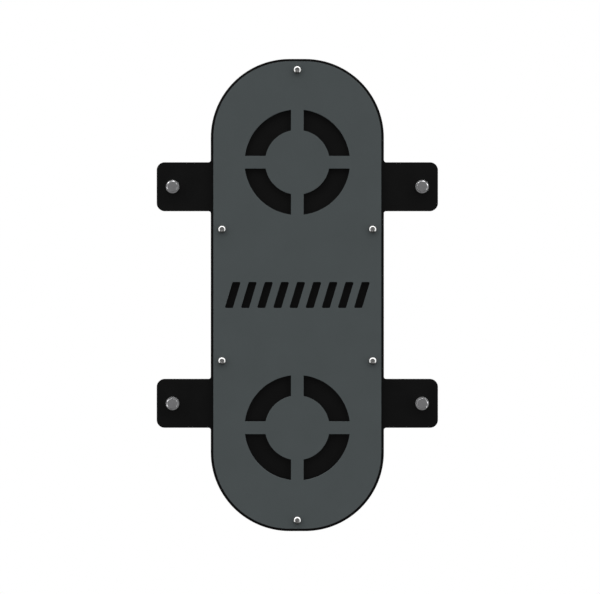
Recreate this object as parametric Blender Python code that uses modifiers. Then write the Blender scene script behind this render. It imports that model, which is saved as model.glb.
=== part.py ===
"""Kick plate for a training rig: a black steel back plate with four bolt lugs, and a thin grey
front panel with cut-out targets, held together by six button-head screws.

Metres, +Z up. The front faces -Y and the plate's rear face lies in the plane y = 0. The origin
is the centre of that rear face.
"""

import math

import bmesh
import bpy

# Plates
BODY_WIDTH = 0.220
BODY_HEIGHT = 0.600
BODY_CORNER = 0.100
PLATE_THICKNESS = 0.005
RIM = 0.0035  # how much of the back plate shows round the front panel
PANEL_THICKNESS = 0.003
TOUCH = 0.0003  # gap kept between pieces that rest on each other

# Lugs, which are part of the back plate
LUG_REACH = 0.1787  # from the centre line to a lug's end
LUG_HEIGHT = 0.062
LUG_CORNER = 0.010
LUG_ROOT = 0.003
BOLT_X = 0.1585
BOLT_Z = 0.1377

# Screws through both plates
SCREW_SIDE_X = 0.0955
SCREW_SIDE_Z = 0.0835
SCREW_END_Z = 0.2856

# Cut-outs in the front panel: two rings of four arc slots, and a row of slanted bars
RING_Z = 0.1685
RING_OUTER = 0.067
RING_INNER = 0.041
RING_BRIDGE = 0.016
BAR_COUNT = 9
BAR_HEIGHT = 0.033
BAR_WIDTH = 0.0105
BAR_PITCH = 0.0205
BAR_SLANT = 0.010  # how far a bar's top stands to the right of its foot
BAR_CORNER = 0.0015

# M6 button-head screw, washer and locking nut
M6_RADIUS = 0.0030
M6_LENGTH = 0.020
M6_HEAD_RADIUS = 0.00525
M6_HEAD_HEIGHT = 0.0033
M6_HEAD_EDGE = 0.0006
M6_HEAD_TOP = 0.0029  # radius of the flat round the socket
M6_SOCKET_ACROSS = 0.004
M6_SOCKET_DEPTH = 0.002
M6_HOLE = 0.0033
M6_WASHER = (0.0032, 0.0060, 0.0016)  # bore radius, outer radius, thickness
M6_NUT_ACROSS = 0.010
M6_NUT_HEIGHT = 0.0060

# M8 hexagon bolt with a washer under its head, and its washer and locking nut
M8_RADIUS = 0.0040
M8_LENGTH = 0.030
M8_HEAD_ACROSS = 0.013
M8_HEAD_HEIGHT = 0.0053
M8_HOLE = 0.0045
M8_WASHER = (0.0042, 0.0085, 0.0016)
M8_NUT_ACROSS = 0.013
M8_NUT_HEIGHT = 0.0080

HEX_CHAMFER = math.radians(30)
HEX_FACE_SHARE = 0.97  # a hexagon head's round face against its width across flats
COLLAR_SHARE = 0.34  # the part of a locking nut's height that is its round collar
COLLAR_CHAMFER = 0.0005
COLLAR_WALL = 0.0006
COLLAR_LIP = 0.0005  # thickness of the lip that is rolled over the locking ring
LIP_COVER = 0.4  # how much of the locking ring's width the lip covers
THREAD_TIP = 0.0008  # chamfer at a thread's end

# How finely round shapes are divided
CORNER_STEPS = 30
SMALL_CORNER_STEPS = 12
SLOT_STEPS = 18
HOLE_SIDES = 24
TURN_STEPS = 24
BAR_CORNER_STEPS = 3
DOME_STEPS = 3
SMOOTH_ANGLE = math.radians(32)

# Turns about X that point a piece's own +Z out of the front or out of the back
FRONT = math.pi / 2
BACK = -math.pi / 2

SCREW_PLACES = {
    "top": (0, SCREW_END_Z),
    "upper_left": (-SCREW_SIDE_X, SCREW_SIDE_Z),
    "upper_right": (SCREW_SIDE_X, SCREW_SIDE_Z),
    "lower_left": (-SCREW_SIDE_X, -SCREW_SIDE_Z),
    "lower_right": (SCREW_SIDE_X, -SCREW_SIDE_Z),
    "bottom": (0, -SCREW_END_Z),
}
BOLT_PLACES = {
    "upper_left": (-BOLT_X, BOLT_Z),
    "upper_right": (BOLT_X, BOLT_Z),
    "lower_left": (-BOLT_X, -BOLT_Z),
    "lower_right": (BOLT_X, -BOLT_Z),
}
# Each fastener stopped turning where it was tight (degrees)
SCREW_TURNS = (3, 57, 24, 12, 41, 0)
BOLT_TURNS = (46, 49, 50, 44)
NUT_TURNS = (10, 37, 51, 26, 3, 44)


def clear_scene():
    for obj in list(bpy.data.objects):
        bpy.data.objects.remove(obj)


def collection(name):
    made = bpy.data.collections.new(name)
    bpy.context.scene.collection.children.link(made)
    return made


def material(name, colour, metallic, roughness):
    made = bpy.data.materials.new(name)
    made.use_nodes = True
    shader = made.node_tree.nodes["Principled BSDF"]
    shader.inputs["Base Color"].default_value = (*colour, 1)
    shader.inputs["Metallic"].default_value = metallic
    shader.inputs["Roughness"].default_value = roughness
    made.diffuse_color = (*colour, 1)
    return made


# Outlines, as lists of (x, z) points


def arc(centre, radius, start, end, steps):
    """Points on a circle from one angle to another, in degrees, both ends included."""
    angles = [math.radians(start + (end - start) * i / steps) for i in range(steps + 1)]
    return [(centre[0] + radius * math.cos(a), centre[1] + radius * math.sin(a)) for a in angles]


def circle(centre, radius):
    return arc(centre, radius, 0, 360, HOLE_SIDES)[:-1]


def four_ways(quadrant):
    """A closed outline from its upper right quarter, given from the side up to the top."""
    upper_left = [(-x, z) for x, z in reversed(quadrant)]
    lower_left = [(-x, -z) for x, z in quadrant]
    lower_right = [(x, -z) for x, z in reversed(quadrant)]
    return quadrant + upper_left + lower_left + lower_right


def body_corner(inset):
    """The body's upper right corner, drawn in by an inset."""
    centre = (BODY_WIDTH / 2 - BODY_CORNER, BODY_HEIGHT / 2 - BODY_CORNER)
    return arc(centre, BODY_CORNER - inset, 0, 90, CORNER_STEPS)


def lug():
    """The upper right lug, from the body's side below it round to the side above it."""
    side, foot, top = BODY_WIDTH / 2, BOLT_Z - LUG_HEIGHT / 2, BOLT_Z + LUG_HEIGHT / 2
    root_x, end_x = side + LUG_ROOT, LUG_REACH - LUG_CORNER
    points = arc((root_x, foot - LUG_ROOT), LUG_ROOT, 180, 90, SMALL_CORNER_STEPS)
    points += arc((end_x, foot + LUG_CORNER), LUG_CORNER, -90, 0, SMALL_CORNER_STEPS)
    points += arc((end_x, top - LUG_CORNER), LUG_CORNER, 0, 90, SMALL_CORNER_STEPS)
    points += arc((root_x, top + LUG_ROOT), LUG_ROOT, 270, 180, SMALL_CORNER_STEPS)
    return points


def ring_slot(centre, quarter):
    """One arc slot of a ring. Its ends are straight and parallel to the bridges beside it."""
    half = RING_BRIDGE / 2
    outer = math.degrees(math.asin(half / RING_OUTER))
    inner = math.degrees(math.asin(half / RING_INNER))
    turn = 90 * quarter
    points = arc(centre, RING_OUTER, turn + outer, turn + 90 - outer, SLOT_STEPS)
    points += arc(centre, RING_INNER, turn + 90 - inner, turn + inner, SLOT_STEPS)
    return points


def rounded(points, radius, steps):
    """A convex outline, given anticlockwise, with every corner rounded to one radius."""
    made = []
    for i, (x, z) in enumerate(points):
        back, ahead = points[i - 1], points[(i + 1) % len(points)]
        before = math.atan2(z - back[1], x - back[0])
        after = math.atan2(ahead[1] - z, ahead[0] - x)
        turn = (after - before) % math.tau
        setback = radius * math.tan(turn / 2)
        start = (x - setback * math.cos(before), z - setback * math.sin(before))
        centre = (start[0] - radius * math.sin(before), start[1] + radius * math.cos(before))
        first = math.degrees(before) - 90
        made += arc(centre, radius, first, first + math.degrees(turn), steps)
    return made


def bar(x):
    """One slanted bar of the row across the middle."""
    foot, top = x - BAR_SLANT / 2, x + BAR_SLANT / 2
    half, rise = BAR_WIDTH / 2, BAR_HEIGHT / 2
    corners = [(foot - half, -rise), (foot + half, -rise), (top + half, rise), (top - half, rise)]
    return rounded(corners, BAR_CORNER, BAR_CORNER_STEPS)


# Solids


def baked(obj, name):
    """The mesh that an object's modifiers make, cleaned of doubled points, in place of it."""
    depsgraph = bpy.context.evaluated_depsgraph_get()
    mesh = bpy.data.meshes.new_from_object(obj.evaluated_get(depsgraph))
    mesh.name = name
    shape = bmesh.new()
    shape.from_mesh(mesh)
    bmesh.ops.remove_doubles(shape, verts=shape.verts, dist=1e-6)
    shape.to_mesh(mesh)
    shape.free()
    bpy.data.objects.remove(obj)
    return mesh


def sheet(name, outlines, thickness):
    """A flat sheet in its own XY plane, from its outline and the outlines of its holes."""
    curve = bpy.data.curves.new(name, "CURVE")
    curve.dimensions = "2D"
    curve.fill_mode = "BOTH"
    curve.extrude = thickness / 2
    for points in outlines:
        spline = curve.splines.new("POLY")
        spline.points.add(len(points) - 1)
        spline.use_cyclic_u = True
        for point, (x, z) in zip(spline.points, points):
            point.co = (x, z, 0, 1)
    obj = bpy.data.objects.new(name, curve)
    bpy.context.scene.collection.objects.link(obj)
    return baked(obj, name)


def turned(name, profile):
    """A solid turned about Z from (radius, z) points that run down its outer side."""
    mesh = bpy.data.meshes.new(name)
    edges = [(i, i + 1) for i in range(len(profile) - 1)]
    mesh.from_pydata([(radius, 0, z) for radius, z in profile], edges, [])
    obj = bpy.data.objects.new(name, mesh)
    bpy.context.scene.collection.objects.link(obj)
    screw = obj.modifiers.new("Turn", "SCREW")
    screw.steps = screw.render_steps = TURN_STEPS
    screw.use_merge_vertices = True
    screw.merge_threshold = 1e-6
    screw.use_smooth_shade = False
    return obj


def hexagon(name, across, low, high):
    """A hexagonal prism about Z, between two heights."""
    mesh = bpy.data.meshes.new(name)
    shape = bmesh.new()
    radius = across / 2 / math.cos(math.radians(30))
    bmesh.ops.create_cone(
        shape, cap_ends=True, segments=6, radius1=radius, radius2=radius, depth=high - low
    )
    bmesh.ops.translate(shape, vec=(0, 0, (low + high) / 2), verts=shape.verts)
    shape.to_mesh(mesh)
    shape.free()
    obj = bpy.data.objects.new(name, mesh)
    bpy.context.scene.collection.objects.link(obj)
    return obj


def combined(obj, other, operation, name):
    """One solid from two, which both go."""
    boolean = obj.modifiers.new(operation.title(), "BOOLEAN")
    boolean.operation = operation
    boolean.object = other
    mesh = baked(obj, name)
    bpy.data.objects.remove(other)
    made = bpy.data.objects.new(name, mesh)
    bpy.context.scene.collection.objects.link(made)
    return made


def chamfer_drop(wide, face):
    """How far a hexagon's chamfer falls from the rim of its round face to a wider radius."""
    return (wide - face) * math.tan(HEX_CHAMFER)


def finished(obj):
    """The mesh of a built object, shaded smooth except at its real edges. The object goes."""
    mesh = baked(obj, obj.name)
    mesh.shade_smooth()
    mesh.set_sharp_from_angle(angle=SMOOTH_ANGLE)
    return mesh


# Fasteners. Each lies along its own Z, with its seat at z = 0 and its head above


def thread_end(radius, length):
    """The foot of a threaded shank's profile, with its end chamfered."""
    return [(radius, THREAD_TIP - length), (radius - THREAD_TIP, -length), (0, -length)]


def button_screw():
    dome_rise = M6_HEAD_HEIGHT - M6_HEAD_EDGE
    dome_run = M6_HEAD_RADIUS - M6_HEAD_TOP
    angles = [math.pi / 2 * i / DOME_STEPS for i in range(DOME_STEPS + 1)]
    dome = [
        (M6_HEAD_TOP + dome_run * math.sin(a), M6_HEAD_EDGE + dome_rise * math.cos(a))
        for a in angles
    ]
    profile = [(0, M6_HEAD_HEIGHT), *dome, (M6_HEAD_RADIUS, 0), (M6_RADIUS, 0)]
    solid = turned("button_screw", profile + thread_end(M6_RADIUS, M6_LENGTH))
    floor = M6_HEAD_HEIGHT - M6_SOCKET_DEPTH
    socket = hexagon("socket", M6_SOCKET_ACROSS, floor, 2 * M6_HEAD_HEIGHT)
    return finished(combined(solid, socket, "DIFFERENCE", "button_screw"))


def hex_bolt():
    face = HEX_FACE_SHARE * M8_HEAD_ACROSS / 2
    wide = M8_HEAD_ACROSS
    edge = M8_HEAD_HEIGHT - chamfer_drop(wide, face)
    cone = turned("cone", [(0, M8_HEAD_HEIGHT), (face, M8_HEAD_HEIGHT), (wide, edge), (wide, 0), (0, 0)])
    outside = hexagon("outside", M8_HEAD_ACROSS, 0, M8_HEAD_HEIGHT)
    head = combined(outside, cone, "INTERSECT", "head")
    inside = M8_HEAD_HEIGHT / 2
    shank = turned(
        "shank", [(0, inside), (M8_RADIUS, inside), *thread_end(M8_RADIUS, M8_LENGTH)]
    )
    return finished(combined(head, shank, "UNION", "hex_bolt"))


def washer(name, size):
    bore, outer, thickness = size
    profile = [(bore, thickness), (outer, thickness), (outer, 0), (bore, 0), (bore, thickness)]
    return finished(turned(name, profile))


def lock_nut(name, thread, across, height):
    """A hexagon nut with a round collar at its far end, rolled over the locking ring's pocket."""
    face = HEX_FACE_SHARE * across / 2
    foot = (1 - COLLAR_SHARE) * height
    bore = thread + TOUCH
    pocket = face - COLLAR_WALL
    lip = pocket - LIP_COVER * (pocket - bore)
    wide = across
    profile = [
        (lip, height),
        (face - COLLAR_CHAMFER, height),
        (face, height - COLLAR_CHAMFER),
        (face, foot),
        (wide, foot - chamfer_drop(wide, face)),
        (wide, 0),
        (bore, 0),
        (bore, foot),
        (pocket, foot),
        (pocket, height - COLLAR_LIP),
        (lip, height - COLLAR_LIP),
        (lip, height),
    ]
    outside = hexagon("outside", across, 0, height)
    return finished(combined(outside, turned(name, profile), "INTERSECT", name))


def locking_ring(name, thread, across, height):
    """The nylon ring in a nut's pocket, which grips the thread. It shows inside the lip."""
    inner = thread + TOUCH
    outer = HEX_FACE_SHARE * across / 2 - COLLAR_WALL - TOUCH
    top = height - COLLAR_LIP - TOUCH
    low = (1 - COLLAR_SHARE) * height + TOUCH
    profile = [(inner, top), (outer, top), (outer, low), (inner, low), (inner, top)]
    return finished(turned(name, profile))


def place(name, mesh, group, location, facing, turn=0):
    """An object with this mesh, its own +Z facing the front or back and turned about it."""
    obj = bpy.data.objects.new(name, mesh)
    obj.location = location
    obj.rotation_euler = (facing, -math.radians(turn), 0)
    group.objects.link(obj)


def dressed(mesh, finish):
    mesh.materials.clear()
    mesh.materials.append(finish)
    return mesh


def back_plate(group):
    holes = [circle(centre, M8_HOLE) for centre in BOLT_PLACES.values()]
    holes += [circle(centre, M6_HOLE) for centre in SCREW_PLACES.values()]
    mesh = sheet("back_plate", [four_ways(lug() + body_corner(0)), *holes], PLATE_THICKNESS)
    dressed(mesh, material("black_powder_coat", (0.006, 0.006, 0.0065), 0.0, 0.55))
    place("back_plate", mesh, group, (0, -PLATE_THICKNESS / 2, 0), FRONT)


def front_panel(group):
    cuts = [circle(centre, M6_HOLE) for centre in SCREW_PLACES.values()]
    for side in (-1, 1):
        cuts += [ring_slot((0, side * RING_Z), quarter) for quarter in range(4)]
    first = -BAR_PITCH * (BAR_COUNT - 1) / 2
    cuts += [bar(first + i * BAR_PITCH) for i in range(BAR_COUNT)]
    mesh = sheet("front_panel", [four_ways(body_corner(RIM)), *cuts], PANEL_THICKNESS)
    dressed(mesh, material("graphite_powder_coat", (0.063, 0.073, 0.074), 0.0, 0.6))
    middle = -(PLATE_THICKNESS + TOUCH + PANEL_THICKNESS / 2)
    place("front_panel", mesh, group, (0, middle, 0), FRONT)


def face_screws(group):
    """The screws that hold the panel on, each with its washer and nut behind the back plate."""
    screw = dressed(button_screw(), material("stainless_screw", (0.62, 0.62, 0.62), 1.0, 0.25))
    ring = dressed(washer("washer_6", M6_WASHER), material("screw_washer", (0.55, 0.56, 0.57), 1.0, 0.35))
    nut_mesh = lock_nut("nut_6", M6_RADIUS, M6_NUT_ACROSS, M6_NUT_HEIGHT)
    nut = dressed(nut_mesh, material("screw_nut", (0.50, 0.51, 0.53), 1.0, 0.4))
    grip_mesh = locking_ring("ring_6", M6_RADIUS, M6_NUT_ACROSS, M6_NUT_HEIGHT)
    grip = dressed(grip_mesh, material("screw_nylon", (0.55, 0.56, 0.52), 0.0, 0.45))
    seat = -(PLATE_THICKNESS + TOUCH + PANEL_THICKNESS + TOUCH)
    behind = TOUCH + M6_WASHER[2]
    for i, (where, (x, z)) in enumerate(SCREW_PLACES.items()):
        place(f"face_screw_{where}", screw, group, (x, seat, z), FRONT, SCREW_TURNS[i])
        place(f"face_washer_{where}", ring, group, (x, behind, z), FRONT)
        place(f"face_nut_{where}", nut, group, (x, behind + TOUCH, z), BACK, NUT_TURNS[i])
        place(f"face_nut_ring_{where}", grip, group, (x, behind + TOUCH, z), BACK)


def mount_bolts(group):
    """The bolts in the lugs, each with a washer under its head, and its washer and nut behind."""
    bolt = dressed(hex_bolt(), material("zinc_bolt", (0.45, 0.45, 0.46), 1.0, 0.35))
    ring = dressed(washer("washer_8", M8_WASHER), material("bolt_washer", (0.55, 0.56, 0.57), 1.0, 0.35))
    nut_mesh = lock_nut("nut_8", M8_RADIUS, M8_NUT_ACROSS, M8_NUT_HEIGHT)
    nut = dressed(nut_mesh, material("bolt_nut", (0.50, 0.51, 0.53), 1.0, 0.4))
    grip_mesh = locking_ring("ring_8", M8_RADIUS, M8_NUT_ACROSS, M8_NUT_HEIGHT)
    grip = dressed(grip_mesh, material("bolt_nylon", (0.55, 0.56, 0.52), 0.0, 0.45))
    lug_face = -(PLATE_THICKNESS + TOUCH)
    seat = lug_face - (M8_WASHER[2] + TOUCH)
    behind = TOUCH + M8_WASHER[2]
    for i, (where, (x, z)) in enumerate(BOLT_PLACES.items()):
        place(f"mount_bolt_{where}", bolt, group, (x, seat, z), FRONT, BOLT_TURNS[i])
        place(f"mount_head_washer_{where}", ring, group, (x, lug_face, z), FRONT)
        place(f"mount_washer_{where}", ring, group, (x, behind, z), FRONT)
        place(f"mount_nut_{where}", nut, group, (x, behind + TOUCH, z), BACK, NUT_TURNS[i])
        place(f"mount_nut_ring_{where}", grip, group, (x, behind + TOUCH, z), BACK)


def main():
    clear_scene()
    group = collection("kick_plate")
    back_plate(group)
    front_panel(group)
    face_screws(group)
    mount_bolts(group)


main()
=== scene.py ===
"""The looks of the kick plate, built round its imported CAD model.

Metres, in the CAD model's own frame: the plate stands upright, its front faces -Y, and its rear
face lies in the plane y = 0. Every visible piece takes its place and outer size from a CAD node.
"""

import math

import bmesh
import bpy
from mathutils import Euler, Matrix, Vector


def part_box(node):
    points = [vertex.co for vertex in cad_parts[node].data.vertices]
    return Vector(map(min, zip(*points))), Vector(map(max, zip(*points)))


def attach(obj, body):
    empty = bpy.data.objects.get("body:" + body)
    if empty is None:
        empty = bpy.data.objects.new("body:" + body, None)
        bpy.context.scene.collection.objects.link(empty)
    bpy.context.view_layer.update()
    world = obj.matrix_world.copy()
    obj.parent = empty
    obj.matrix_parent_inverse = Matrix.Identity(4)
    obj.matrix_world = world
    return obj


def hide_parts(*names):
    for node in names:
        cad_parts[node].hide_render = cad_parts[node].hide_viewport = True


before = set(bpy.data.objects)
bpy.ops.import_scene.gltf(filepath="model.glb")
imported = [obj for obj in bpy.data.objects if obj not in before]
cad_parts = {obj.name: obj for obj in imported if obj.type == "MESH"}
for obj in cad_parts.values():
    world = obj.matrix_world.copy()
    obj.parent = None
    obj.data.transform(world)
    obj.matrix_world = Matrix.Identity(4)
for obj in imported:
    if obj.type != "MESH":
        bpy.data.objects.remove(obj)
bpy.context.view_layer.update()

# Plates
EDGE_ROUND = 0.0002  # radius that the coat leaves on a cut edge
EDGE_STEPS = 3
SEAM = 0.00004  # what is left of the gap between pieces that rest on each other

# Turned pieces
HEX_CORNER = 1 / 16  # radius of a hexagon's rounded corner against its half width
HEX_SLOPE = math.tan(math.radians(30))  # of the chamfer on a hexagon's corners
FLAT_STEPS = 8
SMOOTH_ANGLE = math.radians(50)  # faces that meet at less than this are shaded as one
BEND = math.radians(25)  # a sharper bend between two rings is an edge to be softened
EDGE_CUT = 0.00015  # how much of each side a softened edge takes,
EDGE_CUT_LIMIT = 0.4  # and the most that it takes of a short side
BULGE = 0.42  # how far a softened edge still reaches towards the sharp one
BORE_START = 0.6  # a hollow piece's rings start and end close to the middle of its bore
BORE_END = 0.4

# Shanks and threads
M6_RADIUS = 0.0030
M6_PITCH = 0.0010
M8_RADIUS = 0.0040
M8_PITCH = 0.00125
HEAD_FILLET = 0.08  # between a head and its shank, against the shank's radius
THREAD_DEPTH = 0.6134  # against the pitch
THREAD_TIP = 0.9  # length of the chamfer at the end, against the pitch
THREAD_FORM = ((0, 0), (0.125, 0), (0.4375, 1), (0.6875, 1))  # share of the pitch, share of the depth
M6_COVER = 0.0050  # how far behind the plate a shank stays plain, hidden in its washer and nut
M8_COVER = 0.0070

# Button head of an M6 screw
SOCKET_HALF = 0.0020
SOCKET_DEPTH = 0.0020
BUTTON_TOP = 0.0029  # radius of the flat round the socket
BUTTON_BAND = 0.0009  # height of the upright edge below the dome
DOME_STEPS = 8

# Hexagon head of an M8 bolt
BOLT_HALF = 0.0065  # half its width across flats
BOLT_FACE = 0.0062  # radius of its round top face
BOLT_FACE_MIDDLE = 0.6  # where the top face is divided, against its radius
BOLT_FOOT = 0.0003  # height of the round washer face below the hexagon

# Washers
WASHER_BORE = 1.05  # against the shank's radius
WASHER_EDGE = 0.0001  # how far the outer edge is rounded

# Locking nuts
M6_NUT_HALF = 0.0050  # half the width across flats
M8_NUT_HALF = 0.0065
THREAD_PLAY = 0.0001  # between a nut and its shank
BORE_CHAMFER = 0.0004
COLLAR_WIDTH = 0.97  # against the width across flats
COLLAR_SHARE = 0.34  # of the nut's height
COLLAR_WALL = 0.0006
COLLAR_LIP = 0.0005
LIP_COVER = 0.4  # how much of the nylon ring's width the lip covers
NYLON_ROUND = 0.0004  # how far the nylon ring's inner edge is rounded

# How far each fastener was turned when it was tight (degrees)
SCREW_TURNS = {
    "top": 3, "upper_left": 57, "upper_right": 24, "lower_left": 12, "lower_right": 41, "bottom": 0,
}
SCREW_NUT_TURNS = {
    "top": 10, "upper_left": 37, "upper_right": 51, "lower_left": 26, "lower_right": 3, "bottom": 44,
}
BOLT_TURNS = {"upper_left": 46, "upper_right": 49, "lower_left": 50, "lower_right": 44}
BOLT_NUT_TURNS = {"upper_left": 10, "upper_right": 37, "lower_left": 51, "lower_right": 26}

# Turns about X that point a piece's own +Z out of the front or out of the back
FRONT = math.pi / 2
BACK = -math.pi / 2

# Colours, each from its dullest to its brightest
BLACK = ((0.0010, 0.0010, 0.0010), (0.0017, 0.0017, 0.0017))
GRAPHITE = ((0.0690, 0.0803, 0.0823), (0.0736, 0.0856, 0.0880))
STEEL = ((0.37, 0.37, 0.365), (0.42, 0.42, 0.415))
SOCKET_STEEL = (0.40, 0.40, 0.395)
BOLT_ZINC = ((0.42, 0.42, 0.43), (0.50, 0.50, 0.51))
NUT_ZINC = ((0.42, 0.43, 0.45), (0.56, 0.57, 0.59))
IVORY = ((0.50, 0.51, 0.46), (0.60, 0.61, 0.57))

# Textures. A bump is given by how wide and how high it is
NOISE_SPAN = (0.3, 0.7)  # where most of a noise's values lie
CLOUD = 0.045
SMUDGE = 0.018
PEBBLE = (0.0016, 0.00004)
GRAIN = (0.0007, 0.00003)
PIT = (0.0002, 0.0000012)
LATHE_RING = (0.00012, 0.0000008)
NYLON_GRAIN = (0.0003, 0.000006)

# Strengths of the studio's light
SIDE_LIGHT = 2.7
OVERHEAD_LIGHT = 1.4
ARCH_FLOOR = 0.05
FACING_LIGHT = (0.34, 0.31)  # from below and from above
REAR_LIGHT = (0.15, 1.1)
ARCH_LEAN = 0.03

# Camera: the picture's width covers this much of the back plate's front face
CAMERA_DISTANCE = 2.2
FRAME_WIDTH = 0.7624
CAMERA_X = 0.0034
CAMERA_Z = -0.0025
SENSOR = 36

FLOOR_Z = -1.0
FLOOR_RADIUS = 3.0


# Nodes of materials


def add(tree, kind, settings=None, **inputs):
    """A shader node. An input is a number, a colour, or another node's output."""
    node = tree.nodes.new("ShaderNode" + kind)
    for name, value in (settings or {}).items():
        setattr(node, name, value)
    for name, value in inputs.items():
        connect(tree, node.inputs[name.replace("_", " ")], value)
    return node


def connect(tree, socket, value):
    if isinstance(value, bpy.types.NodeSocket):
        tree.links.new(value, socket)
    else:
        socket.default_value = value


def calculated(tree, operation, *values):
    node = tree.nodes.new("ShaderNodeMath")
    node.operation = operation
    for socket, value in zip(node.inputs, values):
        connect(tree, socket, value)
    return node.outputs["Value"]


def plus(tree, first, second):
    return calculated(tree, "ADD", first, second)


def times(tree, first, second):
    return calculated(tree, "MULTIPLY", first, second)


def ranged(tree, value, source, target, smooth=False):
    """A value carried from one range to another, and held at the ends."""
    settings = {"interpolation_type": "SMOOTHSTEP" if smooth else "LINEAR"}
    node = add(
        tree, "MapRange", settings, Value=value,
        From_Min=source[0], From_Max=source[1], To_Min=target[0], To_Max=target[1],
    )
    return node.outputs["Result"]


def noise(tree, place, size, detail=2.0, roughness=0.5):
    """Noise whose lumps are about this many metres across."""
    node = add(tree, "TexNoise", Vector=place, Scale=1 / size, Detail=detail, Roughness=roughness)
    return node.outputs["Fac"]


def mixed(tree, share, first, second):
    node = tree.nodes.new("ShaderNodeMix")
    node.data_type = "RGBA"
    connect(tree, node.inputs["Factor"], share)
    colours = [socket for socket in node.inputs if socket.type == "RGBA"]
    for socket, colour in zip(colours, (first, second)):
        connect(tree, socket, colour if isinstance(colour, bpy.types.NodeSocket) else (*colour, 1))
    return [socket for socket in node.outputs if socket.type == "RGBA"][0]


def clouded(tree, cloud, colours, span=NOISE_SPAN):
    """A colour that goes from the first to the second as the noise rises through its span."""
    return mixed(tree, ranged(tree, cloud, span, (0, 1)), *colours)


def raised(tree, height, distance, normal=None):
    """A bump that stands this many metres high where the height is 1."""
    node = add(tree, "Bump", Height=height, Distance=distance, Strength=1.0)
    if normal:
        tree.links.new(normal, node.inputs["Normal"])
    return node.outputs["Normal"]


def new_material(name, metallic, specular):
    made = bpy.data.materials.new(name)
    made.use_nodes = True
    tree = made.node_tree
    shader = tree.nodes["Principled BSDF"]
    shader.inputs["Metallic"].default_value = metallic
    shader.inputs["Specular IOR Level"].default_value = specular
    place = add(tree, "TexCoord").outputs["Object"]
    return made, tree, shader, place


def dressed_with(tree, shader, colour, roughness, normal):
    connect(tree, shader.inputs["Base Color"], colour)
    connect(tree, shader.inputs["Roughness"], roughness)
    connect(tree, shader.inputs["Normal"], normal)


# Materials


def powder_coat(name, colours, roughness, specular):
    """A baked coat: cloudy over a few centimetres, smudged, pebbled, with a finer grain on top."""
    made, tree, shader, place = new_material(name, 0.0, specular)
    cloud = noise(tree, place, CLOUD, 3.0)
    grain = noise(tree, place, GRAIN[0], 2.0, 0.6)
    blend = plus(tree, times(tree, cloud, 0.6), times(tree, grain, 0.4))
    colour = clouded(tree, blend, colours, (0.35, 0.65))
    rough = ranged(tree, noise(tree, place, SMUDGE, 3.0), NOISE_SPAN, roughness)
    pebble = noise(tree, place, PEBBLE[0], 1.0)
    normal = raised(tree, grain, GRAIN[1], raised(tree, pebble, PEBBLE[1]))
    dressed_with(tree, shader, colour, rough, normal)
    return made


def plated_steel(name, colours, roughness, size):
    """Plated steel: cloudy, with fine pits and a trace of handling."""
    made, tree, shader, place = new_material(name, 1.0, 0.5)
    cloud = noise(tree, place, size, 3.0)
    pits = noise(tree, place, PIT[0], 2.0, 0.6)
    rough = ranged(tree, noise(tree, place, size * 0.6, 4.0), NOISE_SPAN, roughness)
    dressed_with(tree, shader, clouded(tree, cloud, colours), rough, raised(tree, pits, PIT[1]))
    return made


def stainless(name):
    """Polished stainless steel with the lathe's rings on it, and a duller pressed socket."""
    made, tree, shader, place = new_material(name, 1.0, 0.5)
    along = add(tree, "SeparateXYZ", Vector=place).outputs
    squares = [calculated(tree, "POWER", along[axis], 2.0) for axis in "XY"]
    across = calculated(tree, "SQRT", plus(tree, *squares))
    rings = calculated(tree, "SINE", times(tree, across, math.tau / LATHE_RING[0]))
    in_socket = ranged(tree, across, (SOCKET_HALF, SOCKET_HALF * 1.15), (1, 0))
    cloud = noise(tree, place, 0.003, 3.0)
    colour = mixed(tree, in_socket, clouded(tree, cloud, STEEL), SOCKET_STEEL)
    polished = ranged(tree, cloud, NOISE_SPAN, (0.2, 0.27))
    rough = plus(tree, polished, times(tree, in_socket, 0.15))
    dressed_with(tree, shader, colour, rough, raised(tree, rings, LATHE_RING[1]))
    return made


def nylon(name):
    """Ivory nylon, which lets a little light in."""
    made, tree, shader, place = new_material(name, 0.0, 0.5)
    cloud = noise(tree, place, 0.002, 3.0)
    rough = ranged(tree, cloud, NOISE_SPAN, (0.38, 0.5))
    normal = raised(tree, noise(tree, place, NYLON_GRAIN[0]), NYLON_GRAIN[1])
    dressed_with(tree, shader, clouded(tree, cloud, IVORY), rough, normal)
    shader.inputs["Subsurface Weight"].default_value = 0.15
    shader.inputs["Subsurface Radius"].default_value = (0.002, 0.002, 0.0015)
    return made


# Shapes


def join_rows(shape, rows):
    for upper, lower in zip(rows, rows[1:]):
        for i in range(len(upper)):
            shape.faces.new((upper[i - 1], lower[i - 1], lower[i], upper[i]))


def as_mesh(name, shape, finish):
    """A mesh from a finished shape, shaded so that large faces look flat and the small ones bend."""
    bmesh.ops.remove_doubles(shape, verts=shape.verts, dist=1e-7)
    bmesh.ops.recalc_face_normals(shape, faces=shape.faces)
    shape.normal_update()
    weighted = {face: face.normal * face.calc_area() ** 2 for face in shape.faces}
    normals = []
    for face in shape.faces:
        for vert in face.verts:
            near = [weighted[other] for other in vert.link_faces if smooth_between(other, face)]
            normals.append(sum(near, Vector()).normalized())
    mesh = bpy.data.meshes.new(name)
    shape.to_mesh(mesh)
    shape.free()
    mesh.shade_smooth()
    mesh.normals_split_custom_set(normals)
    mesh.materials.append(finish)
    return mesh


def smooth_between(face, other):
    return face.normal.angle(other.normal, 0) < SMOOTH_ANGLE


# Plates


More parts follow.
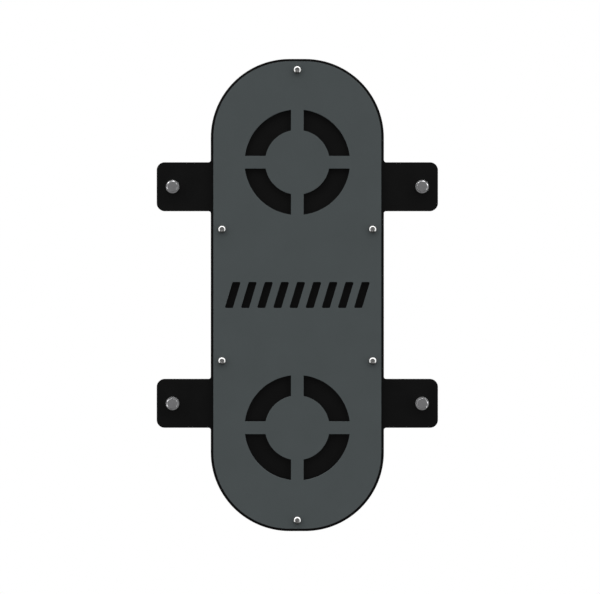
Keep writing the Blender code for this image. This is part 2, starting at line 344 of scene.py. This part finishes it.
def rims(node):
    """The closed outlines, as lists of (x, z), where a CAD plate's front face meets its edges."""
    shape = bmesh.new()
    shape.from_mesh(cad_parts[node].data)
    bmesh.ops.remove_doubles(shape, verts=shape.verts, dist=1e-6)
    shape.normal_update()
    ways = {}
    for edge in shape.edges:
        faces_front = [face.normal.y < -0.5 for face in edge.link_faces]
        if any(faces_front) and not all(faces_front):
            start, end = edge.verts
            ways.setdefault(start, []).append(end)
            ways.setdefault(end, []).append(start)
    outlines = []
    while ways:
        here = next(iter(ways))
        outline = []
        while here in ways:
            outline.append((here.co.x, here.co.z))
            ahead = ways.pop(here)
            here = next((vert for vert in ahead if vert in ways), None)
        outlines.append(outline)
    shape.free()
    return outlines


def enclosed(outline):
    """Twice the area inside an outline, negative if it runs clockwise."""
    pairs = zip(outline, outline[1:] + outline[:1])
    return sum(x * next_z - next_x * z for (x, z), (next_x, next_z) in pairs)


def material_left(outlines):
    """The outlines turned so that the plate is always on the left: round it, and back round each hole."""
    widest = max(outlines, key=lambda outline: abs(enclosed(outline)))
    return [
        outline if (enclosed(outline) > 0) == (outline is widest) else outline[::-1]
        for outline in outlines
    ]


def drawn_in(outline, inset):
    """An outline moved into the material on its left."""
    made = []
    for i, point in enumerate(outline):
        here = Vector(point)
        before = (here - Vector(outline[i - 1])).normalized()
        after = (Vector(outline[(i + 1) % len(outline)]) - here).normalized()
        left, next_left = Vector((-before.y, before.x)), Vector((-after.y, after.x))
        made.append(here + (left + next_left) * inset / (1 + left.dot(next_left)))
    return made


def plate(name, node, back, finish):
    """A coated sheet with the outline and front face of a CAD plate, and its back face at this y."""
    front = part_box(node)[0].y
    turns = [math.pi / 2 * i / EDGE_STEPS for i in range(EDGE_STEPS + 1)]
    near = [(EDGE_ROUND * (1 - math.sin(a)), front + EDGE_ROUND * (1 - math.cos(a))) for a in turns]
    far = [(inset, back - (y - front)) for inset, y in reversed(near)]
    shape = bmesh.new()
    front_rim, back_rim = [], []
    for outline in material_left(rims(node)):
        rows = [
            [shape.verts.new((x, y, z)) for x, z in drawn_in(outline, inset)]
            for inset, y in near + far
        ]
        join_rows(shape, rows)
        front_rim += [shape.edges.get((rows[0][i - 1], vert)) for i, vert in enumerate(rows[0])]
        back_rim += [shape.edges.get((rows[-1][i - 1], vert)) for i, vert in enumerate(rows[-1])]
    for rim in (front_rim, back_rim):
        bmesh.ops.triangle_fill(shape, use_beauty=True, edges=rim)
    return as_mesh(name, shape, finish)


# Turned pieces. Each lies along its own Z. A ring is a list of (radius, height), one for each
# of the angles round the piece, which lie close together at the corners of a hexagon

# A hexagon's flat ends at this angle from its middle, where the rounded corner begins
FLAT_END = math.degrees(math.atan((1 - HEX_CORNER) * math.tan(math.radians(30))))


def round_angles():
    sector = [-30, -(30 + FLAT_END) / 2]
    sector += [FLAT_END * (2 * i / FLAT_STEPS - 1) for i in range(FLAT_STEPS + 1)]
    sector += [(30 + FLAT_END) / 2]
    return [60 * side + angle for side in range(6) for angle in sector]


def hex_reach(angle):
    """How far a hexagon with rounded corners reaches at an angle, against its half width."""
    off_flat = abs((angle + 30) % 60 - 30)
    if off_flat <= FLAT_END + 1e-6:
        return 1 / math.cos(math.radians(off_flat))
    off_corner = math.radians(30 - off_flat)
    centre = (1 - HEX_CORNER) / math.cos(math.radians(30))
    across = centre * math.sin(off_corner)
    return centre * math.cos(off_corner) + math.sqrt(HEX_CORNER**2 - across**2)


ANGLES = round_angles()
DIRECTIONS = [(math.cos(math.radians(a)), math.sin(math.radians(a))) for a in ANGLES]
REACHES = [hex_reach(angle) for angle in ANGLES]


def ring(radius, height):
    return [(radius, height)] * len(ANGLES)


def hexed(half, height):
    return [(half * reach, height) for reach in REACHES]


def hexed_to_cone(half, face, height, slope):
    """Where a hexagonal prism meets a cone that leaves the plane of this height at a radius."""
    return [(half * reach, height + abs(half * reach - face) * slope) for reach in REACHES]


def softened(rings):
    """The same rings, with each edge between them rounded over."""
    made = [rings[0]]
    for before, here, after in zip(rings, rings[1:], rings[2:]):
        if bend(before[0], here[0], after[0]) < BEND:
            made.append(here)
        else:
            corners = [round_corner(*points) for points in zip(before, here, after)]
            made += [list(column) for column in zip(*corners)]
    return made + [rings[-1]]


def bend(before, here, after):
    return (Vector(here) - Vector(before)).angle(Vector(after) - Vector(here), 0)


def round_corner(before, here, after):
    """Three points that take a corner's place."""
    back, ahead = Vector(before) - Vector(here), Vector(after) - Vector(here)
    start = Vector(here) + back * min(EDGE_CUT / back.length, EDGE_CUT_LIMIT)
    end = Vector(here) + ahead * min(EDGE_CUT / ahead.length, EDGE_CUT_LIMIT)
    middle = Vector(here) * BULGE + (start + end) / 2 * (1 - BULGE)
    return tuple(start), tuple(middle), tuple(end)


def turned_rows(shape, rings):
    rows = [
        [shape.verts.new((r * c, r * s, z)) for (r, z), (c, s) in zip(points, DIRECTIONS)]
        for points in softened(rings)
    ]
    join_rows(shape, rows)
    return rows


def closed_end(shape, row):
    """A row's flat end, closed as a fan round its middle."""
    middle = shape.verts.new(sum((vert.co for vert in row), Vector()) / len(row))
    for i, vert in enumerate(row):
        shape.faces.new((row[i - 1], vert, middle))


def threaded(shape, start, radius, pitch, top, end):
    """A thread down from a row of the shank to its chamfered end.

    The rows of the thread climb by one pitch in a turn, so each joins the row a pitch above it
    where the turn closes. Above the top and below the end they are held, and merge.
    """
    per_turn = len(THREAD_FORM)
    turns = math.ceil((top - end) / pitch) + 2
    depth = THREAD_DEPTH * pitch
    tip = THREAD_TIP * pitch
    rows = [start]
    for j in range(turns * per_turn):
        share, deep = THREAD_FORM[j % per_turn]
        along = (j // per_turn + share) * pitch
        row = []
        for angle, (c, s) in zip(ANGLES, DIRECTIONS):
            z = top - along + (angle - ANGLES[0]) / 360 * pitch
            reach = min(radius - deep * depth, radius - tip + max(z - end, 0))
            if z >= top:
                reach, z = radius, top
            if z <= end:
                reach, z = radius - tip, end
            row.append(shape.verts.new((reach * c, reach * s, z)))
        rows.append(row)
    for j in range(1, len(rows) - 1):
        for i in range(len(ANGLES) - 1):
            shape.faces.new((rows[j][i], rows[j + 1][i], rows[j + 1][i + 1], rows[j][i + 1]))
        above, below = max(j - per_turn, 1), max(j + 1 - per_turn, 1)
        last = (rows[j][-1], rows[j + 1][-1], rows[below][0], rows[above][0])
        shape.faces.new(list(dict.fromkeys(last)))
    join_rows(shape, [start, rows[1]])
    closed_end(shape, rows[-1])


def fastener(name, head, radius, pitch, plain, end, finish):
    """A screw or bolt. Its head stands on z = 0, and its shank is plain to one height, then threaded."""
    shank = [
        ring(radius * (1 + HEAD_FILLET), 0.0),
        ring(radius, -radius * HEAD_FILLET),
        ring(radius, plain),
    ]
    shape = bmesh.new()
    rows = turned_rows(shape, head + shank)
    closed_end(shape, rows[0])
    threaded(shape, rows[-1], radius, pitch, plain, end)
    return as_mesh(name, shape, finish)


def button_screw(name, node, seat, finish):
    """An M6 screw with a button head and a hexagon socket, whose head stands on a plane of this y."""
    low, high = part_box(node)
    radius = (high.x - low.x) / 2
    top = seat - low.y - SEAM
    centre = (BUTTON_TOP**2 + top**2 - radius**2 - BUTTON_BAND**2) / (2 * (top - BUTTON_BAND))
    dome = math.hypot(BUTTON_TOP, top - centre)
    first, last = math.asin(BUTTON_TOP / dome), math.asin(radius / dome)
    tilts = [first + (last - first) * i / DOME_STEPS for i in range(DOME_STEPS + 1)]
    head = [
        hexed(SOCKET_HALF, top - SOCKET_DEPTH),
        hexed(SOCKET_HALF, top),
        *[ring(dome * math.sin(a), centre + dome * math.cos(a)) for a in tilts],
        ring(radius, 0.0),
    ]
    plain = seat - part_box("back_plate")[1].y - M6_COVER
    return fastener(name, head, M6_RADIUS, M6_PITCH, plain, seat - high.y, finish)


def hex_bolt(name, node, seat, finish):
    """An M8 hexagon bolt, whose head stands on a plane of this y."""
    low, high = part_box(node)
    top = seat - low.y - SEAM
    head = [
        ring(BOLT_FACE * BOLT_FACE_MIDDLE, top),
        ring(BOLT_FACE, top),
        hexed_to_cone(BOLT_HALF, BOLT_FACE, top, -HEX_SLOPE),
        hexed(BOLT_HALF, BOLT_FOOT),
        ring(BOLT_FACE, BOLT_FOOT),
        ring(BOLT_FACE, 0.0),
    ]
    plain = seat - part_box("back_plate")[1].y - M8_COVER
    return fastener(name, head, M8_RADIUS, M8_PITCH, plain, seat - high.y, finish)


def hollow(name, rings, finish):
    """A turned ring round a bore. Its rings begin and end near the middle of the bore."""
    shape = bmesh.new()
    rows = turned_rows(shape, rings)
    join_rows(shape, [rows[-1], rows[0]])
    return as_mesh(name, shape, finish)


def washer(name, bore, outer, thick, finish):
    """A stamped washer: its upper edges are rolled over a little, its lower ones crisp."""
    rings = [
        ring(bore, thick * BORE_START),
        ring(bore, thick - WASHER_EDGE / 4),
        ring(bore + WASHER_EDGE / 2, thick),
        ring(outer - WASHER_EDGE, thick),
        ring(outer, thick - WASHER_EDGE),
        ring(outer, 0.0),
        ring(bore, 0.0),
        ring(bore, thick * BORE_END),
    ]
    return hollow(name, rings, finish)


def lock_nut(name, bore, half, height, finish):
    """A hexagon nut with a round collar whose lip is rolled over the locking ring."""
    face = COLLAR_WIDTH * half
    foot = (1 - COLLAR_SHARE) * height
    pocket = face - COLLAR_WALL
    lip = pocket - LIP_COVER * (pocket - bore)
    rings = [
        ring(bore, foot * BORE_START),
        ring(bore, foot),
        ring(pocket, foot),
        ring(pocket, height - COLLAR_LIP),
        ring(lip, height - COLLAR_LIP * 1.2),
        ring(lip, height - COLLAR_LIP * 0.4),
        ring(pocket, height),
        ring(face - COLLAR_WALL / 4, height - COLLAR_LIP),
        ring(face, foot),
        hexed_to_cone(half, face, foot, -HEX_SLOPE),
        hexed_to_cone(half, face, 0.0, HEX_SLOPE),
        ring(face, 0.0),
        ring(bore + BORE_CHAMFER, 0.0),
        ring(bore, BORE_CHAMFER),
        ring(bore, foot * BORE_END),
    ]
    return hollow(name, rings, finish)


def locking_ring(name, inner, outer, low, high, finish):
    """A ring between two heights, with its upper inner edge rounded."""
    middle = (low + high) / 2
    rings = [
        ring(inner, middle + NYLON_ROUND / 4),
        ring(inner + NYLON_ROUND / 4, high - NYLON_ROUND / 2),
        ring(inner + NYLON_ROUND, high),
        ring(outer, high),
        ring(outer, low),
        ring(inner, low),
        ring(inner, middle - NYLON_ROUND / 4),
    ]
    return hollow(name, rings, finish)


# The pieces in their places


def placed(name, mesh, node, y=0.0, facing=0.0, turn=0):
    """Puts a piece in a CAD node's stead. A fastener lies along y, on its node's middle, turned."""
    piece = bpy.data.objects.new(name, mesh)
    bpy.context.scene.collection.objects.link(piece)
    if facing:
        low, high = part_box(node)
        piece.location = ((low.x + high.x) / 2, y, (low.z + high.z) / 2)
        piece.rotation_euler = Euler((facing, -math.radians(turn), 0))
    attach(piece, "root")
    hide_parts(node)


def plates():
    black = powder_coat("black_powder_coat", BLACK, (0.5, 0.6), 0.13)
    grey = powder_coat("graphite_powder_coat", GRAPHITE, (0.55, 0.65), 0.12)
    low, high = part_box("back_plate")
    back_plate = plate("plate_back", "back_plate", high.y, black)
    front_panel = plate("panel_front", "front_panel", low.y - SEAM, grey)
    placed("plate_back", back_plate, "back_plate")
    placed("panel_front", front_panel, "front_panel")


def face_screws():
    """The panel's six screws, each with its washer, locking nut and nylon ring behind the plate."""
    steel = stainless("stainless_screw")
    zinc = plated_steel("zinc_screw_nut", NUT_ZINC, (0.3, 0.42), 0.003)
    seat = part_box("front_panel")[0].y - SEAM
    screw = button_screw("button_screw", "face_screw_top", seat, steel)
    fasten_behind("face", "screw", M6_RADIUS, M6_NUT_HALF, SCREW_NUT_TURNS, zinc, nylon("nylon_6"))
    for where, turn in SCREW_TURNS.items():
        placed(f"screw_{where}", screw, f"face_screw_{where}", seat, FRONT, turn)


def mount_bolts():
    """The four bolts in the lugs, each with two washers, a locking nut and its nylon ring."""
    head = plated_steel("zinc_bolt", BOLT_ZINC, (0.09, 0.13), 0.006)
    zinc = plated_steel("zinc_bolt_nut", NUT_ZINC, (0.3, 0.42), 0.005)
    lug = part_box("back_plate")[0].y - SEAM
    thick = put_washers("mount_head_washer", "bolt_head_washer", M8_RADIUS, BOLT_TURNS, lug, FRONT, head)
    seat = lug - thick - SEAM
    bolt = hex_bolt("hex_bolt", "mount_bolt_upper_left", seat, head)
    fasten_behind("mount", "bolt", M8_RADIUS, M8_NUT_HALF, BOLT_NUT_TURNS, zinc, nylon("nylon_8"))
    for where, turn in BOLT_TURNS.items():
        placed(f"bolt_{where}", bolt, f"mount_bolt_{where}", seat, FRONT, turn)


def put_washers(node_form, name_form, shank, places, y, facing, finish):
    """Washers that rest on a plane of this y, all alike. Gives their thickness."""
    low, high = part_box(f"{node_form}_{next(iter(places))}")
    thick = high.y - low.y
    flat = washer(name_form, shank * WASHER_BORE, (high.x - low.x) / 2, thick, finish)
    for where in places:
        placed(f"{name_form}_{where}", flat, f"{node_form}_{where}", y, facing)
    return thick


def fasten_behind(node_form, name_form, shank, half, turns, zinc, ivory):
    """Washers, locking nuts and nylon rings that rest on the plate's rear face and on each other."""
    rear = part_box("back_plate")[1].y + SEAM
    thick = put_washers(f"{node_form}_washer", f"{name_form}_washer", shank, turns, rear, BACK, zinc)
    seat = rear + thick + SEAM
    low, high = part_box(f"{node_form}_nut_{next(iter(turns))}")
    height = high.y - low.y
    nut = lock_nut(f"{name_form}_nut", shank + THREAD_PLAY, half, height, zinc)
    foot = (1 - COLLAR_SHARE) * height + SEAM
    lip = height - COLLAR_LIP * 1.2 - SEAM
    outer = COLLAR_WIDTH * half - COLLAR_WALL - SEAM
    grip = locking_ring(f"{name_form}_nylon", shank + SEAM, outer, foot, lip, ivory)
    for where, turn in turns.items():
        placed(f"{name_form}_nut_{where}", nut, f"{node_form}_nut_{where}", seat, BACK, turn)
        placed(f"{name_form}_nylon_{where}", grip, f"{node_form}_nut_ring_{where}", seat, BACK)


# Stage


def floor():
    """A pale floor well below the plate, which fades out before it ends, and holds back no light."""
    shape = bmesh.new()
    bmesh.ops.create_circle(shape, cap_ends=True, segments=96, radius=FLOOR_RADIUS)
    mesh = bpy.data.meshes.new("floor")
    shape.to_mesh(mesh)
    shape.free()
    made = bpy.data.objects.new("floor", mesh)
    made.location.z = FLOOR_Z
    bpy.context.scene.collection.objects.link(made)
    material, tree, shader, place = new_material("pale_floor", 0.0, 0.2)
    shader.inputs["Base Color"].default_value = (0.5, 0.5, 0.5, 1)
    shader.inputs["Roughness"].default_value = 0.8
    away = add(tree, "VectorMath", {"operation": "LENGTH"}, Vector=place).outputs["Value"]
    there = ranged(tree, away, (FLOOR_RADIUS * 0.5, FLOOR_RADIUS * 0.95), (1, 0), smooth=True)
    connect(tree, shader.inputs["Alpha"], there)
    mesh.materials.append(material)
    made.visible_glossy = False
    made.visible_diffuse = False
    made.visible_shadow = False


def studio():
    """White walls to the eye. The light comes from a wide soft arch over the plate and beside it.

    It depends on a direction's Y and Z. In front of the plate, towards -Y, is a dim wall. The
    arch fades out near the floor, and behind the plate the light grows from below to above.
    """
    world = bpy.data.worlds.new("studio")
    bpy.context.scene.world = world
    world.use_nodes = True
    tree = world.node_tree
    tree.nodes.clear()
    axes = add(tree, "SeparateXYZ", Vector=add(tree, "TexCoord").outputs["Generated"]).outputs
    sides = ranged(tree, axes["Z"], (-0.68, -0.52), (0.0, SIDE_LIGHT), smooth=True)
    overhead = ranged(tree, axes["Z"], (0.1, 0.8), (0.0, OVERHEAD_LIGHT), smooth=True)
    arch = plus(tree, plus(tree, sides, overhead), ARCH_FLOOR)
    facing = ranged(tree, axes["Z"], (-1.0, 1.0), FACING_LIGHT)
    rear = ranged(tree, axes["Z"], (-0.6, 0.8), REAR_LIGHT)
    leaning = plus(tree, axes["Y"], times(tree, axes["Z"], ARCH_LEAN))
    in_arch = ranged(tree, leaning, (-0.495, -0.44), (0.0, 1.0), smooth=True)
    past_arch = ranged(tree, axes["Y"], (0.0, 0.3), (0.0, 1.0), smooth=True)
    strength = blended(tree, past_arch, blended(tree, in_arch, facing, arch), rear)
    light = add(tree, "Background", Color=(1, 1, 1, 1), Strength=strength).outputs["Background"]
    seen = add(tree, "Background", Color=(1, 1, 1, 1), Strength=1.0).outputs["Background"]
    to_eye = add(tree, "LightPath").outputs["Is Camera Ray"]
    mix = tree.nodes.new("ShaderNodeMixShader")
    for socket, value in zip(mix.inputs, (to_eye, light, seen)):
        tree.links.new(value, socket)
    out = tree.nodes.new("ShaderNodeOutputWorld")
    tree.links.new(mix.outputs[0], out.inputs["Surface"])


def blended(tree, share, first, second):
    """first where the share is 0, second where it is 1."""
    gap = calculated(tree, "SUBTRACT", second, first)
    return plus(tree, first, times(tree, share, gap))


def camera():
    data = bpy.data.cameras.new("camera")
    data.sensor_width = SENSOR
    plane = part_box("back_plate")[0].y
    data.lens = SENSOR * (CAMERA_DISTANCE + plane) / FRAME_WIDTH
    made = bpy.data.objects.new("camera", data)
    made.location = (CAMERA_X, -CAMERA_DISTANCE, CAMERA_Z)
    made.rotation_euler = (math.pi / 2, 0, 0)
    bpy.context.scene.collection.objects.link(made)
    bpy.context.scene.camera = made


plates()
face_screws()
mount_bolts()
floor()
studio()
camera()
bpy.context.scene.view_settings.view_transform = "Standard"
